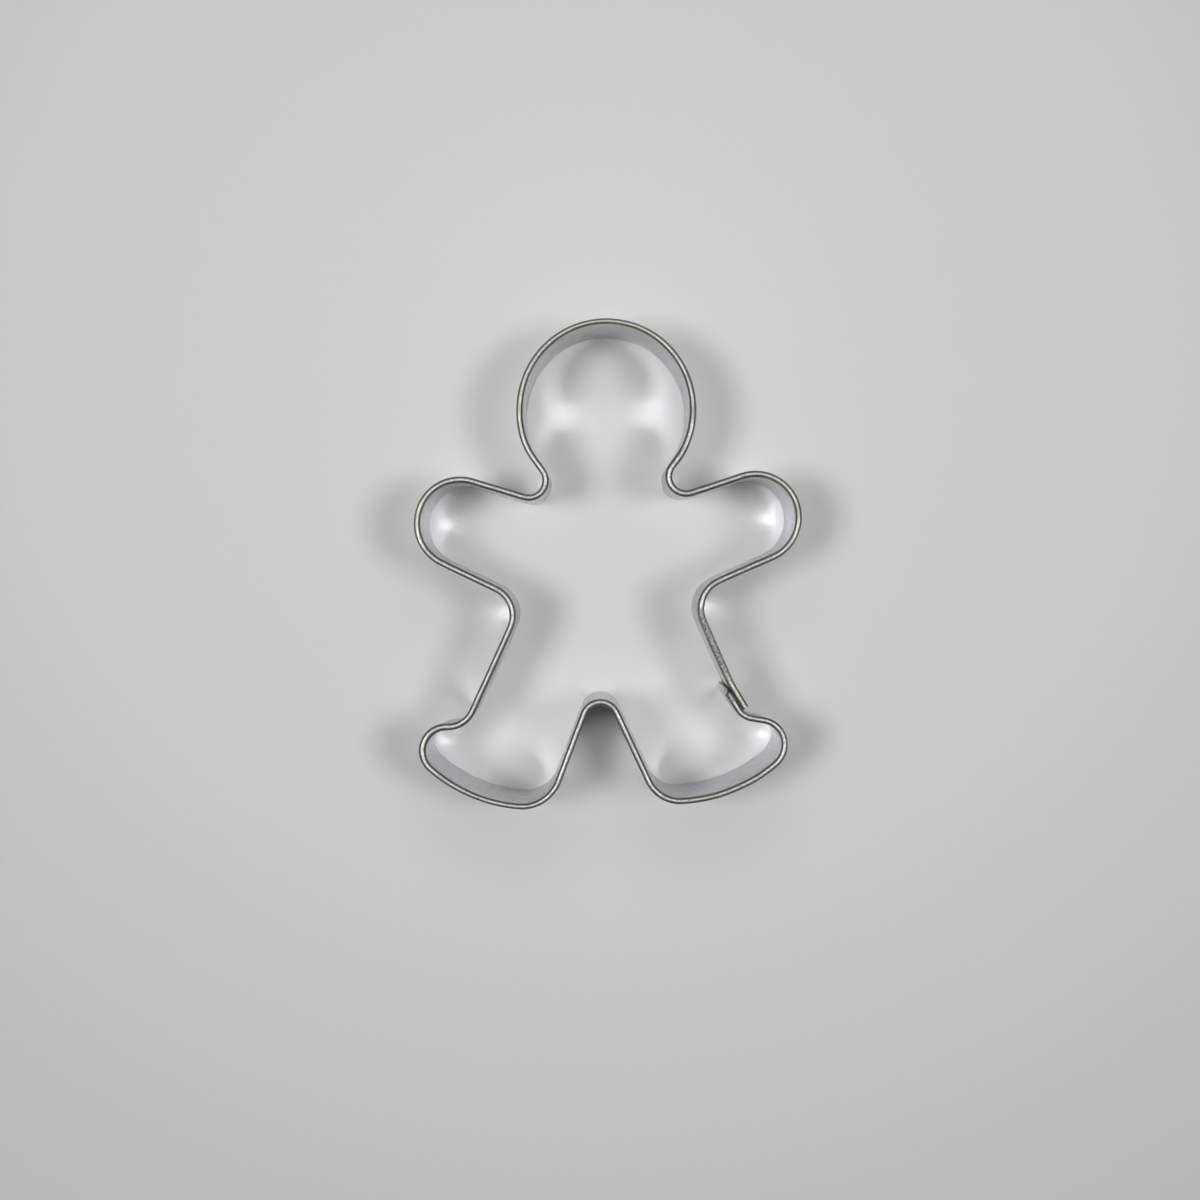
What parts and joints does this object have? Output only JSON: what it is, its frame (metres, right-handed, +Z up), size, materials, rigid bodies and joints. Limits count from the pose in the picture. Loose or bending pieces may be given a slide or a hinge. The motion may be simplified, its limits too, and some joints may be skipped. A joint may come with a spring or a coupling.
{
  "type": "cookie cutter",
  "caption": "Cookie cutter in the outline of a gingerbread figure: a bent strip of thin steel with a rolled rim above, a cutting edge below and lapped, spot-welded ends.",
  "frame": {"origin": "centre of the footprint, on the plane of the cutting edge", "axes": "+Z up from the cutting edge to the rolled rim, +Y towards the figure's head, +X towards the side of the lapped seam"},
  "size_m": [0.0632, 0.08, 0.02],
  "materials": {
    "bright_strip": "bright tinned sheet, faintly grained along the strip",
    "weld_metal": "dull, heat-tinted"
  },
  "bodies": {
    "root": {"cutter_band": "bright_strip", "spot_weld_upper": "weld_metal", "spot_weld_lower": "weld_metal"}
  },
  "joints": []
}
